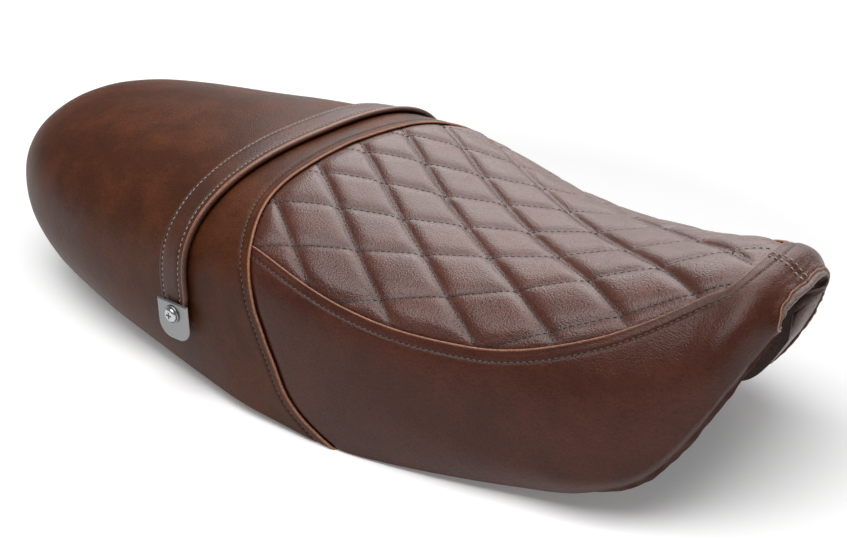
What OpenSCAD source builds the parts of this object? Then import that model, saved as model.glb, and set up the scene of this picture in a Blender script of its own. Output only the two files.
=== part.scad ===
// Dual motorcycle seat: a moulded pan, a foam cushion, a sewn leather cover with a diamond-quilted
// rider panel, and a grab strap that pivots on two screws.
// +X points to the nose, +Y to the rider's left, +Z up. The origin is under the middle of the seat.

/* [Seat] */
// Length from the tail to the nose
seat_length = 687; // [670:1:710]
// Width of the cover at its widest
seat_width = 298; // [280:1:310]
// Height of the crown above the lowest edge
seat_height = 164; // [158:1:172]

/* [Cover] */
// Thickness of the leather
leather = 1.3; // [1:0.1:1.6]
// Gap between two panels at a seam
seam_gap = 0.8; // [0.6:0.1:1.5]
// Thickness of the padding behind the quilted panel
wadding = 3.5; // [2:0.5:4]
// How far the padding stays inside the quilted panel's seam
wadding_margin = 12; // [8:1:20]

/* [Cushion and pan] */
// Thickness of the foam beside the pan
side_foam = 24; // [22:1:26]
// Thickness of the foam in front of the pan
nose_foam = 22; // [20:1:25]
// Wall thickness of the moulded pan
pan_wall = 3; // [2.5:0.5:3.5]

/* [Strap] */
// Width of the strap
strap_width = 30; // [26:1:32]
// Middle of the strap along the seat
strap_x = -51.5; // [-58:0.5:-48]
// Height of the strap's screws
pivot_z = 68.5; // [66:0.5:70]
// Radius of the strap's screws
screw_r = 3; // [2.5:0.5:3]
// Width of the metal end plates
plate_width = 31; // [31:0.5:34]
// Height of the metal end plates
plate_height = 30; // [28:1:34]
// Thickness of the metal end plates
plate_thick = 1.6; // [1.2:0.1:2]

/* [Brackets] */
// Middle of the rear bracket along the seat
bracket_x = -185; // [-190:1:-180]
// Length of the rear bracket along the seat
bracket_length = 40; // [30:1:44]
// Half the distance between the rear bracket's legs
bracket_y = 44; // [40:1:50]
// Thickness of the steel plate
steel = 2.5; // [2:0.5:3]
// Radius of the lock loop's rod
loop_rod = 4; // [3:0.5:5]

/* [Hidden] */
$fn = 48;

half = seat_length / 2;
wide = seat_width / 298;
tall = seat_height / 164;

// The tail is a rounded arc about the point arc_x on the centre line
arc_r = 217;
arc_x = arc_r - half;
tail_power = 2.34;
tail_spine = 0.576;

// Curves along the seat, each a smooth line through [x, value] points
width_curve = [[-half, 131 * wide], [-225, 132 * wide], [-110, 143 * wide], [0, 149 * wide],
    [100, 142 * wide], [200, 123.5 * wide], [300, 91 * wide], [330, 67 * wide], [half, 36 * wide]];
crown_curve = [[-half, 150 * tall], [-260, 157 * tall], [-180, 161 * tall], [-90, 164 * tall],
    [0, 158 * tall], [90, 138 * tall], [170, 133 * tall], [250, 147 * tall], [310, 162 * tall],
    [332, 160.5 * tall], [half, 150 * tall]];
edge_curve = [[-half, 40], [-190, 29], [-50, 13], [20, 5], [90, 0], [160, 5], [215, 11],
    [260, 21], [300, 47], [325, 94], [half, 138]];
deck_curve = [[-half, 84], [-250, 88], [0, 88], [120, 84], [200, 88], [260, 104], [300, 124],
    [half, 136]];
// Height of the widest point, as a share of the way from the edge to the crown
mid_curve = [[-half, 0.43], [-150, 0.36], [50, 0.6], [200, 0.25], [290, 0.1], [half, 0.1]];
// How far the sides pull in below the widest point, as a share of the width
tuck_curve = [[-half, 0.12], [-150, 0.1], [50, 0.04], [200, 0.08], [290, 0.1], [half, 0.1]];
// Power of the rounded section: 2 is an ellipse, more is boxier
box_curve = [[-half, 2.5], [-150, 2.25], [50, 2.9], [200, 3], [290, 2.3], [half, 2.5]];
pan_box = 6;

// Seam between the tail and the rider's end: place along the seat at each level of the section
cross_seam = [[-1, 86], [-0.75, 56], [-0.35, 39], [0, 27], [0.35, 12], [0.65, -5], [1, -14]];
// Seam round the quilting: level of the section at each place along the seat
quilt_seam = [[10, 0.345], [60, 0.3], [110, 0.303], [160, 0.348], [210, 0.4], [250, 0.505],
    [290, 0.63], [311, 0.72]];
quilt_low = 0.345;
quilt_end = 311;
quilt_tip = 315.5;

// Depths of the layers, measured inwards from the outer face of the leather
foam_depth = leather + 1.9;
wadding_depth = leather + 0.9;
quilt_recess = wadding + 1;
// Extra room round the foam where the nose curves most
nose_slack = 1.2;
edge_lift = 1.7;
pan_depth = side_foam + pan_wall;
hem_gap = 0.8;
hem_thick = 1.2;

// Layers of the strap, measured outwards from the leather
strap_clear = 1.3;
webbing = 0.8;
strap_leather = 1.8;
strap_out = strap_clear + webbing + 0.15 + strap_leather;
strap_low = -0.4;

function piece_of(t, x, i = 0) = (i >= len(t) - 2 || x < t[i + 1][0]) ? i : piece_of(t, x, i + 1);
function rise(t, i) = (t[i + 1][1] - t[i][1]) / (t[i + 1][0] - t[i][0]);
function slope(t, i) =
    i == 0 ? rise(t, 0) :
    i == len(t) - 1 ? rise(t, i - 1) :
    let (a = t[i][0] - t[i - 1][0], b = t[i + 1][0] - t[i][0])
    (rise(t, i) * a + rise(t, i - 1) * b) / (a + b);
function curve(t, x) =
    let (i = piece_of(t, x), h = t[i + 1][0] - t[i][0], u = (x - t[i][0]) / h)
    t[i][1] + (t[i + 1][1] - t[i][1]) * (3 - 2 * u) * u * u
        + h * slope(t, i) * u * (1 - u) * (1 - u)
        - h * slope(t, i + 1) * u * u * (1 - u);
function mix(a, b, s) = a + (b - a) * s;

// Height of the lower edge, lifted square to itself
function edge(x, lift) =
    let (s = (curve(edge_curve, min(x + 1, half)) - curve(edge_curve, x - 1)) / (min(x + 1, half) - x + 1))
    curve(edge_curve, x) + lift * sqrt(1 + s * s);

// Point on the seat's form. u is a place along the seat: degrees round the tail from -90 to 0, then
// millimetres forward of arc_x. v is the level of the section: -1 at the lower edge, 0 at the widest
// point and 1 at the crown. The form is moved inwards by d at the sides and by top at the crown.
function form(u, v, side, d = 0, top = 0, lift = 0, pan = false) =
    let (tail = u < 0, c = cos(90 + u), s = sin(90 + u),
        outer_x = tail ? arc_x - (arc_r - d) * pow(c, 2 / tail_power) : arc_x + u,
        spine_x = tail ? arc_x - tail_spine * (arc_r - d) * c : arc_x + u,
        box = pan ? pan_box : curve(box_curve, outer_x),
        a = 90 * (1 - max(v, 0)),
        q = v >= 0 ? pow(sin(a), 2 / box) : 1 - curve(tuck_curve, outer_x) * v * v,
        w = (curve(width_curve, outer_x) - d) * (tail ? pow(s, 2 / tail_power) : 1),
        x = mix(spine_x, outer_x, q),
        low = edge(x, lift),
        high = curve(pan ? deck_curve : crown_curve, x) - top,
        mid = mix(low, high, pan ? 0.5 : curve(mid_curve, x)),
        z = v >= 0 ? mid + (high - mid) * pow(cos(a), 2 / box) : mid + (mid - low) * v)
    [x, side * q * w, z];

// Closed solid between two sheets of points with the same rows and columns. A welded sheet runs
// round the seat from nose to nose, and its last column is the crown line, which both sides share.
module layer(outer, inner, weld = false) {
    rows = len(outer);
    cols = len(outer[0]);
    n = rows * cols;
    function id(k, j) =
        (weld && j == cols - 1 && 2 * k < rows - 1) ? (rows - 1 - k) * cols + j : k * cols + j;
    squares = [for (k = [0 : rows - 2], j = [0 : cols - 2])
        [id(k, j), id(k, j + 1), id(k + 1, j + 1), id(k + 1, j)]];
    open_rim = concat([for (j = [cols - 1 : -1 : 0]) id(0, j)],
        [for (k = [1 : rows - 1]) id(k, 0)], [for (j = [1 : cols - 1]) id(rows - 1, j)]);
    rim = weld ? open_rim : concat(open_rim, [for (k = [rows - 2 : -1 : 0]) id(k, cols - 1)]);
    faces = concat(
        [for (q = squares) each [[q[0], q[1], q[2]], [q[0], q[2], q[3]]]],
        [for (q = squares) each [[n + q[2], n + q[1], n + q[0]], [n + q[3], n + q[2], n + q[0]]]],
        [for (i = [0 : len(rim) - 2]) each
            [[rim[i], rim[i + 1], n + rim[i + 1]], [rim[i], n + rim[i + 1], n + rim[i]]]]);
    polyhedron(points = concat([for (r = outer) each r], [for (r = inner) each r]), faces = faces);
}

// Closed solid through a row of closed loops of points
module sweep(loops) {
    m = len(loops[0]);
    last = len(loops) - 1;
    faces = concat(
        [for (k = [0 : last - 1], i = [0 : m - 1]) let (j = (i + 1) % m, a = k * m, b = a + m)
            each [[a + i, a + j, b + j], [a + i, b + j, b + i]]],
        [[for (i = [m - 1 : -1 : 0]) i]],
        [[for (i = [0 : m - 1]) last * m + i]]);
    polyhedron(points = [for (l = loops) each l], faces = faces);
}

tail_steps = [-90, -80, -68, -56, -44, -32, -20, -10];
body_steps = [for (x = [-125, -95, -65, -35, -5, 25, 55, 85, 115, 145, 175, 205, 230, 252, 272, 290,
    300, 310, 318, 326]) x - arc_x];
levels = [-1, -0.8, -0.55, -0.3, -0.1, 0.1, 0.25, 0.4, 0.55, 0.7, 0.83, 0.93, 1];
pan_levels = [-1, -0.6, -0.2, 0.25, 0.42, 0.52, 0.62, 0.78, 1];

// Stations round the seat, from the right of the nose by the tail to the left of the nose
function around(steps) = concat(
    [for (i = [len(steps) - 1 : -1 : 1]) [steps[i], -1]],
    [for (s = steps) [s, 1]]);

// How much deeper the foam lies under the quilting: 0 outside it and 1 well inside
function under_quilt(x, v) =
    let (in_x = min(x - curve(cross_seam, v) + 4, quilt_tip + 4 - x) / 8,
        in_v = x > 10 && x < quilt_end ? (v - curve(quilt_seam, x) + 0.03) / 0.06 : in_x)
    max(0, min(1, in_x, in_v));

module pan_shell() {
    nose = half - nose_foam - arc_x;
    function steps(d) = concat(tail_steps, [for (s = body_steps) if (s < nose - 10) s], [nose - d]);
    function sheet(d) = [for (p = around(steps(d)))
        [for (v = pan_levels) form(p[0], v, p[1], side_foam + d, d, edge_lift, true)]];
    layer(sheet(0), sheet(pan_wall), true);
}

module foam_body() {
    function steps(d) = concat(tail_steps, body_steps, [half - d - arc_x]);
    outer = [for (p = around(steps(foam_depth))) [for (v = levels)
        let (x = arc_x + p[0],
            nose = max(0, min(1, (x - 300) / 20)) * nose_slack,
            deep = p[0] < 0 ? 0 : nose + quilt_recess * under_quilt(x, v))
        form(p[0], v, p[1], foam_depth + deep, foam_depth + deep, edge_lift)]];
    inner = [for (p = around(concat(tail_steps, [for (s = body_steps) min(s, half - nose_foam - arc_x + 0.4
        - (body_steps[len(body_steps) - 1] - s) * 0.5)], [half - nose_foam - arc_x + 1])))
        [for (i = [0 : len(levels) - 1])
            form(p[0], levels[i], p[1], side_foam - 0.8, -0.8, edge_lift, true)]];
    layer(outer, inner, true);
}

// Hole for a strap screw, from outside the cover to inside the pan
module screw_bores(r) {
    translate([strap_x, 0, pivot_z]) rotate([90, 0, 0]) cylinder(r = r, h = 2 * half, center = true);
}

module base_pan() {
    color("#2b2b2d") difference() {
        pan_shell();
        screw_bores(screw_r + 0.3);
    }
}

module foam_core() {
    color("#d9cf9f") difference() {
        foam_body();
        screw_bores(screw_r + 0.5);
    }
}

// Sheet of the quilted panel: rows from the cross seam to the nose, columns from side to side
function quilt_sheet(rows, cols, d, margin) = [for (i = [0 : rows]) [for (j = [-cols : cols])
    let (r = i / rows, c = abs(j) / cols, side = j < 0 ? -1 : 1,
        v0 = mix(1, quilt_low, c),
        start = curve(cross_seam, v0) + seam_gap / 2 + margin,
        side_start = curve(cross_seam, quilt_low) + seam_gap / 2 + margin,
        finish = mix(quilt_tip, quilt_end - 2, pow(c, 4)) - margin,
        side_x = mix(side_start, quilt_end - 2 - margin, r),
        v = mix(1, curve(quilt_seam, side_x) + 0.006 + margin * 0.006, c),
        x = mix(start, finish, r))
    form(x - arc_x, v, side, d, d)]];

module quilt_wadding() {
    color("#e8e4d8") layer(
        quilt_sheet(13, 7, wadding_depth, wadding_margin),
        quilt_sheet(13, 7, wadding_depth + wadding, wadding_margin));
}

module quilted_panel() {
    color("#6b3f33") layer(quilt_sheet(16, 8, 0, 0), quilt_sheet(16, 8, leather, 0));
}

// Sheet of the tail cover, from the cross seam on the right round the tail to the left
function tail_sheet(d) =
    let (n = 6, steps = concat(tail_steps, [for (i = [0 : n]) i / n]))
    [for (p = around(steps)) [for (v = levels)
        let (u = p[0] < 0 ? p[0] : p[0] * (curve(cross_seam, v) - seam_gap / 2 - arc_x))
        form(u, v, p[1], d, d)]];

module tail_cover() {
    color("#5e3324") difference() {
        layer(tail_sheet(0), tail_sheet(leather), true);
        screw_bores(screw_r + 0.5);
    }
}

// Sheet of a side panel: rows from the cross seam to the nose, columns from the edge upwards. Its
// upper seam follows the quilting and then climbs to the crown round the nose of the quilting.
side_stations = [12, 36, 66, 98, 130, 162, 192, 220, 246, 268, 285, 299, quilt_end, 313, 314.6,
    315.6, 316.1, 316.4, 322, 330, 338, half];
side_levels = [0, 0.12, 0.24, 0.36, 0.48, 0.6, 0.7, 0.78, 0.86, 0.93, 1];
side_turn = quilt_tip + seam_gap;
seam_points = [for (v = levels) [v, curve(cross_seam, v)]];
nose_level = 0.985;
corner_level = 0.714;
function side_top(x) =
    x > side_turn ? nose_level :
    x < quilt_end ? curve(quilt_seam, x) - 0.006 :
    mix(nose_level, corner_level, pow((side_turn - x) / (side_turn - quilt_end), 0.25));
function side_sheet(side, d) = [for (s = side_stations) [for (c = side_levels)
    let (r = (s - side_stations[0]) / (half - side_stations[0]),
        start = lookup(mix(-1, quilt_low, c), seam_points) + seam_gap,
        v = mix(-1, side_top(s), c),
        x = min(mix(start, half, r), half - d))
    form(x - arc_x, v, side, d, d)]];

module side_panel(side) {
    layer(side > 0 ? side_sheet(side, 0) : side_sheet(side, leather),
        side > 0 ? side_sheet(side, leather) : side_sheet(side, 0));
}
module side_panel_right() { color("#54291e") side_panel(-1); }
module side_panel_left() { color("#54291e") side_panel(1); }

// Section of the turned-under leather: flat under the foam and the pan's wall, then up inside it,
// to just above the wall's foot at the tail and most of the way to the deck at the open front
hem_draw = 0.35;
function hem_top(x) = mix(-0.6, 0.3, max(0, min(1, (x - 215) / 57)));
function hem_loop(p) =
    let (u = p[0], side = p[1], a = pan_depth + hem_gap, b = a + hem_thick, top = hem_top(arc_x + u))
    concat([form(u, -1, side, leather + hem_gap)],
        [for (k = [0 : 3]) let (v = mix(-1, top, k / 3))
            form(u, v, side, b + k * hem_draw, k > 0 ? pan_wall : 0, k > 0 ? edge_lift : 0, k > 0)],
        [for (k = [3 : -1 : 1]) form(u, mix(-1, top, k / 3), side, a + k * hem_draw,
            pan_wall, edge_lift, true)],
        [form(u, -1, side, a, 0, hem_thick), form(u, -1, side, leather + hem_gap, 0, hem_thick)]);

hem_steps = [for (x = [87, 115, 145, 175, 205, 230, 252, 272, 290, 300, 310, 320]) x - arc_x];
module hem_tail() {
    steps = concat(tail_steps, [for (x = [-125, -95, -65, -35, -5, 25, 55, 84]) x - arc_x]);
    color("#4a251a") sweep([for (p = around(steps)) hem_loop(p)]);
}
module hem_right() {
    color("#4a251a") sweep([for (i = [len(hem_steps) - 1 : -1 : 0]) hem_loop([hem_steps[i], -1])]);
}
module hem_left() {
    color("#4a251a") sweep([for (s = hem_steps) hem_loop([s, 1])]);
}

// One staple on the inside of the pan's wall, with its legs through the leather into the wall
staple_level = -0.78;
module staple(u, side) {
    crown = 10;
    wire = 0.8;
    leg = 3;
    d = pan_depth + hem_gap + hem_thick;
    p = form(u, staple_level, side, d + 0.3, pan_wall, edge_lift, true);
    q = form(u + 2, staple_level, side, d + 0.3, pan_wall, edge_lift, true);
    way = atan2(q[1] - p[1], q[0] - p[0]);
    out = sign(-sin(way) * p[0] * (u < 0 ? 1 : 0) + cos(way) * p[1]);
    translate(p) rotate([0, 0, way]) {
        cube([crown, wire, wire], center = true);
        for (x = [-crown / 2 + wire / 2, crown / 2 - wire / 2])
            translate([x, out * leg / 2, 0]) cube([wire, leg + wire, wire], center = true);
    }
}

staple_places = concat([-88, -62, -40, -18],
    [for (x = [-110, -72, -20, 18, 56, 105, 145, 185, 220, 246, 268]) x - arc_x]);
module cover_staples() {
    color("#b8b8b8") for (u = staple_places, side = [-1, 1]) staple(u, side);
}

// The strap follows the cover at a small distance, rows from end to end and columns across
strap_rows = [strap_low, -0.3, -0.2, -0.1, 0.05, 0.2, 0.33, 0.46, 0.58, 0.7, 0.8, 0.9, 1];
function strap_sheet(d, inset) = concat(
    [for (v = strap_rows) [for (x = [-0.5, 0, 0.5])
        form(strap_x + x * (strap_width - inset) - arc_x, v, -1, -d, -d)]],
    [for (i = [len(strap_rows) - 2 : -1 : 0]) [for (x = [-0.5, 0, 0.5])
        form(strap_x + x * (strap_width - inset) - arc_x, strap_rows[i], 1, -d, -d)]]);

module grab_strap() {
    color("#4d281c") difference() {
        layer(strap_sheet(strap_out, 0), strap_sheet(strap_out - strap_leather, 0));
        screw_bores(screw_r + 0.5);
    }
}

module strap_webbing() {
    color("#2a2320") difference() {
        layer(strap_sheet(strap_clear + webbing, 4), strap_sheet(strap_clear, 4));
        screw_bores(screw_r + 0.5);
    }
}

// The end plate hangs upright against the strap. Its frame has the screw's hole at the origin.
plate_top = 9.5;
plate_corner = 12;
plate_bevel = 1.2;
bore_gap = 0.08;
function side_y(z, out) =
    let (x = strap_x - arc_x, m = form(x, 0, 1)[2], low = form(x, -1, 1)[2])
    form(x, min(0, (z - m) / (m - low)), 1, -out)[1];
plate_gap = 1.1;
plate_y = side_y(pivot_z + plate_top, strap_out) + plate_gap;
module at_plate(side) {
    mirror([0, side < 0 ? 1 : 0, 0]) translate([strap_x, plate_y, pivot_z]) children();
}
module plate_face(inset) {
    w = plate_width / 2 - inset;
    low = plate_top - plate_height + inset;
    r = plate_corner - inset;
    hull() {
        translate([-w, plate_top - inset - 1]) square([2 * w, 1]);
        for (x = [-w + r, w - r]) translate([x, low + r]) circle(r = r);
    }
}
module strap_plate(side) {
    at_plate(side) difference() {
        rotate([90, 0, 0]) hull() {
            translate([0, 0, -plate_thick / 2]) linear_extrude(plate_thick / 2) plate_face(0);
            translate([0, 0, -plate_thick]) linear_extrude(plate_thick) plate_face(plate_bevel);
        }
        rotate([90, 0, 0]) cylinder(r = screw_r + bore_gap, h = 20, center = true);
    }
}
module strap_plate_right() { color("#c9cbcd") strap_plate(-1); }
module strap_plate_left() { color("#c9cbcd") strap_plate(1); }

// Thin dished washer with a raised rim
washer_r = 7;
washer_thick = 0.8;
module strap_washer(side) {
    low = plate_thick + 0.15;
    high = low + washer_thick;
    at_plate(side) rotate([-90, 0, 0]) rotate_extrude() polygon([[screw_r + 0.05, low], [washer_r, low],
        [washer_r, high], [washer_r - 0.6, high + 0.5], [washer_r - 1.2, high], [screw_r + 0.05, high]]);
}
module strap_washer_right() { color("#b9bbbd") strap_washer(-1); }
module strap_washer_left() { color("#b9bbbd") strap_washer(1); }

// Domed screw with a cross recess
screw_length = 44;
head_r = 5.4;
head_h = 2.6;
recess_width = 5.4;
module strap_screw(side) {
    seat = plate_thick + washer_thick + 0.2;
    at_plate(side) difference() {
        rotate([-90, 0, 0]) union() {
            translate([0, 0, seat - screw_length]) cylinder(r = screw_r, h = screw_length);
            translate([0, 0, seat]) rotate_extrude() polygon([[0, 0], [head_r, 0],
                [head_r, 0.3 * head_h], [0.93 * head_r, 0.6 * head_h], [0.78 * head_r, 0.84 * head_h],
                [0.52 * head_r, head_h], [0, head_h]]);
        }
        for (a = [0, 90]) translate([0, seat + head_h, 0]) rotate([0, a, 0])
            cube([recess_width, 3, 1.2], center = true);
    }
}
module strap_screw_right() { color("#d4d6d8") strap_screw(-1); }
module strap_screw_left() { color("#d4d6d8") strap_screw(1); }

module strap_nut(side) {
    flange_r = 7;
    body_r = 4.8;
    wall = min([for (v = [-0.2, 0, 0.15, 0.3, 0.4])
        let (p = form(strap_x - arc_x, v, 1, pan_depth, pan_wall, edge_lift, true))
        p[2] < pivot_z + flange_r + 3 ? p[1] : 2 * half]);
    mirror([0, side < 0 ? 1 : 0, 0]) translate([strap_x, wall - 2, pivot_z]) rotate([90, 0, 0]) difference() {
        union() {
            cylinder(r = flange_r, h = 1.5);
            cylinder(r = body_r, h = 7);
        }
        translate([0, 0, -1]) cylinder(r = screw_r + 0.03, h = 9);
    }
}
module strap_nut_right() { color("#9a9a96") strap_nut(-1); }
module strap_nut_left() { color("#9a9a96") strap_nut(1); }

// Steel tongue under the front of the deck, which slides under a bracket on the frame
tongue_x = [138, 196];
tongue_z = 80.5;
tongue_drop = 16;
tongue_reach = 84;
tongue_width = 40;
tongue_holes = [for (x = [12, 40], y = [-12, 12]) [tongue_x[0] + x, y]];
plate_hole_r = 2.75;
module front_tongue() {
    color("#3c3d40") difference() {
        translate([0, tongue_width / 2, 0]) rotate([90, 0, 0]) linear_extrude(tongue_width) polygon([
            [tongue_x[0], tongue_z], [tongue_x[1], tongue_z],
            [tongue_x[1] + tongue_drop, tongue_z - tongue_drop],
            [tongue_x[1] + tongue_reach, tongue_z - tongue_drop],
            [tongue_x[1] + tongue_reach, tongue_z - tongue_drop - steel],
            [tongue_x[1] + tongue_drop - 1, tongue_z - tongue_drop - steel],
            [tongue_x[1] - 1, tongue_z - steel], [tongue_x[0], tongue_z - steel]]);
        for (p = tongue_holes) translate([p[0], p[1], tongue_z - 5]) cylinder(r = plate_hole_r, h = 10);
    }
}

// Screw up into the pan: the head is below, at z
pan_screw_r = 2.5;
module pan_screw(z, r, length) {
    translate([0, 0, z - 3]) cylinder(r = 2 * r, h = 2.9);
    translate([0, 0, z - 1]) cylinder(r = r, h = length);
}
module tongue_screws() {
    color("#8f9194") for (p = tongue_holes) translate([p[0], p[1], 0])
        pan_screw(tongue_z - steel, pan_screw_r, 8);
}

// Steel bridge under the tail: a top plate, two legs and two feet
bracket_top = 84.3;
foot_z = 12;
foot_y = 26;
bracket_holes = [for (x = [-12, 12], y = [-32, 32]) [bracket_x + x, y]];
module rear_bracket() {
    color("#3c3d40") difference() {
        union() {
            translate([bracket_x - bracket_length / 2, -bracket_y, bracket_top - steel])
                cube([bracket_length, 2 * bracket_y, steel]);
            for (side = [0, 1]) mirror([0, side, 0]) {
                translate([bracket_x - bracket_length / 2, bracket_y - steel, foot_z])
                    cube([bracket_length, steel, bracket_top - foot_z]);
                translate([bracket_x - bracket_length / 2, bracket_y - foot_y, foot_z])
                    cube([bracket_length, foot_y, steel]);
            }
        }
        for (p = bracket_holes) translate([p[0], p[1], bracket_top - 5]) cylinder(r = plate_hole_r, h = 10);
        for (y = [-loop_y, loop_y]) translate([bracket_x, y, bracket_top - 5])
            cylinder(r = loop_rod + 0.05, h = 10);
        for (side = [-1, 1]) translate([bracket_x, side * buffer_y, foot_z - 1])
            cylinder(r = buffer_stem + 0.1, h = 5);
    }
}
module bracket_screws() {
    color("#8f9194") for (p = bracket_holes) translate([p[0], p[1], 0])
        pan_screw(bracket_top - steel, pan_screw_r, 6.5);
}

// Loop that the seat lock grips
loop_y = 19;
loop_drop = 34;
module latch_striker() {
    color("#a9acb0") {
        for (y = [-loop_y, loop_y]) translate([bracket_x, y, bracket_top - steel - loop_drop + loop_y])
            cylinder(r = loop_rod, h = steel + loop_drop - loop_y - 0.2);
        translate([bracket_x, 0, bracket_top - steel - loop_drop + loop_y])
            rotate([0, 0, 90]) rotate([-90, 0, 0])
            rotate_extrude(angle = 180) translate([loop_y, 0]) circle(r = loop_rod);
    }
}

buffer_y = bracket_y - 14;
buffer_stem = 4;
module rear_buffer(side) {
    translate([bracket_x, side * buffer_y, 0]) {
        cylinder(r1 = 10, r2 = 11, h = foot_z - 0.1);
        cylinder(r = buffer_stem, h = foot_z + steel + 0.2);
        translate([0, 0, foot_z + steel + 0.1]) cylinder(r1 = 5.2, r2 = 3.4, h = 3);
    }
}
module rear_buffer_right() { color("#1e1e1f") rear_buffer(-1); }
module rear_buffer_left() { color("#1e1e1f") rear_buffer(1); }

rail_x = 96;
rail_y = 72;
rail_pad = 14;
module rail_buffer(side) {
    under = curve(deck_curve, rail_x) - pan_wall - 0.6;
    translate([rail_x, side * rail_y, under - rail_pad]) {
        cylinder(r1 = 11, r2 = 13, h = rail_pad);
        cylinder(r = buffer_stem, h = rail_pad + 0.7);
    }
}
module rail_buffer_right() { color("#1e1e1f") rail_buffer(-1); }
module rail_buffer_left() { color("#1e1e1f") rail_buffer(1); }

base_pan();
foam_core();
quilt_wadding();
tail_cover();
side_panel_right();
side_panel_left();
quilted_panel();
hem_tail();
hem_right();
hem_left();
cover_staples();
strap_screw_right();
strap_screw_left();
strap_washer_right();
strap_washer_left();
strap_nut_right();
strap_nut_left();
front_tongue();
tongue_screws();
rear_bracket();
bracket_screws();
latch_striker();
rear_buffer_right();
rear_buffer_left();
rail_buffer_right();
rail_buffer_left();
grab_strap();
strap_webbing();
strap_plate_right();
strap_plate_left();
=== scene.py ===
# Motorcycle seat: the sewn leather cover, its quilting, the strap and the hardware, built round the
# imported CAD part. Shapes are worked out in millimetres in the row frame and made in metres.
import math
import bmesh
import bpy
import numpy as np
from mathutils import Matrix, Vector


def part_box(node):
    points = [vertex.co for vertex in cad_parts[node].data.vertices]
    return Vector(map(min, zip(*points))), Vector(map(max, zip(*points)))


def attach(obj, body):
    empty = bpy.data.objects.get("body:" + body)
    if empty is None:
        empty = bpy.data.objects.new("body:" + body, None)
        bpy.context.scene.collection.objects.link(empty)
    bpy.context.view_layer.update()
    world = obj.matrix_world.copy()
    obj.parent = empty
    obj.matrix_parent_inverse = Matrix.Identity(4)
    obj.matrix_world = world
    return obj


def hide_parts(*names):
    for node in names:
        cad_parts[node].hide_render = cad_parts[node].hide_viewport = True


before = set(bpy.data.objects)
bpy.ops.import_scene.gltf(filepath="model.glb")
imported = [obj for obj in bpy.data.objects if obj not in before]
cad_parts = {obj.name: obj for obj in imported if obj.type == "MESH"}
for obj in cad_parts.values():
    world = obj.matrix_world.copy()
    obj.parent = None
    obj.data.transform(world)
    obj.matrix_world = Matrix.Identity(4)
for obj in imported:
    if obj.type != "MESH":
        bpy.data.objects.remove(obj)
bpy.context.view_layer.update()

MM = 0.001

# ---------------------------------------------------------------- the seat's form
HALF = 500 * (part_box("side_panel_left")[1].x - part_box("tail_cover")[0].x)
ARC_R = 217.0
ARC_X = ARC_R - HALF
TAIL_POWER, TAIL_SPINE, PAN_BOX = 2.34, 0.576, 6.0
EDGE_LIFT, PAN_WALL, HEM_DEPTH, DECK_DROP = 1.7, 3.0, 28.6, 4.6
MOUTH_X = HALF - 22.3


def table(*pairs):
    return np.array(pairs, float).reshape(-1, 2)


WIDTH = table(-HALF, 131, -225, 132, -110, 143, 0, 149, 100, 142, 200, 123.5, 300, 91, 330, 67, HALF, 36)
CROWN = table(-HALF, 150, -260, 157, -180, 161, -90, 164, 0, 158, 90, 138, 170, 133, 250, 147, 310, 162,
              332, 160.5, HALF, 150)
EDGE = table(-HALF, 40, -190, 29, -50, 13, 20, 5, 90, 0, 160, 5, 215, 11, 260, 21, 300, 47, 325, 94,
             HALF, 138)
DECK = table(-HALF, 84, -250, 88, 0, 88, 120, 84, 200, 88, 260, 104, 300, 124, HALF, 136)
MID = table(-HALF, 0.43, -150, 0.36, 50, 0.6, 200, 0.25, 290, 0.1, HALF, 0.1)
TUCK = table(-HALF, 0.12, -150, 0.1, 50, 0.04, 200, 0.08, 290, 0.1, HALF, 0.1)
BOX = table(-HALF, 2.5, -150, 2.25, 50, 2.9, 200, 3, 290, 2.3, HALF, 2.5)
CROSS = table(-1, 86, -0.75, 56, -0.35, 39, 0, 27, 0.35, 12, 0.65, -5, 1, -14)
QUILT = table(10, 0.345, 60, 0.3, 110, 0.303, 160, 0.348, 210, 0.4, 250, 0.505, 290, 0.63, 311, 0.72)
QUILT_END, QUILT_TIP, QUILT_CORNER = 309.0, 315.5, 0.714
# The tail's cover laps the side panels along CROSS, and SIDE_START is how far they reach under it
SIDE_START = 3


def curve(t, x):
    """Smooth line through the points of t."""
    xs, ys = t[:, 0], t[:, 1]
    h = np.diff(xs)
    rise = np.diff(ys) / h
    m = np.concatenate([[rise[0]], (rise[1:] * h[:-1] + rise[:-1] * h[1:]) / (h[1:] + h[:-1]), [rise[-1]]])
    x = np.asarray(x, float)
    i = np.clip(np.searchsorted(xs, x, side="right") - 1, 0, len(xs) - 2)
    u = (x - xs[i]) / h[i]
    return (ys[i] + (ys[i + 1] - ys[i]) * (3 - 2 * u) * u * u
            + h[i] * m[i] * u * (1 - u) ** 2 - h[i] * m[i + 1] * u * u * (1 - u))


def mix(a, b, s):
    return a + (b - a) * s


def smooth(a, b, x):
    s = np.clip((np.asarray(x, float) - a) / (b - a), 0, 1)
    return s * s * (3 - 2 * s)


def edge(x, lift=0.0):
    hi = np.minimum(x + 1, HALF)
    s = (curve(EDGE, hi) - curve(EDGE, x - 1)) / (hi - x + 1)
    return curve(EDGE, x) + lift * np.sqrt(1 + s * s)


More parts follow.
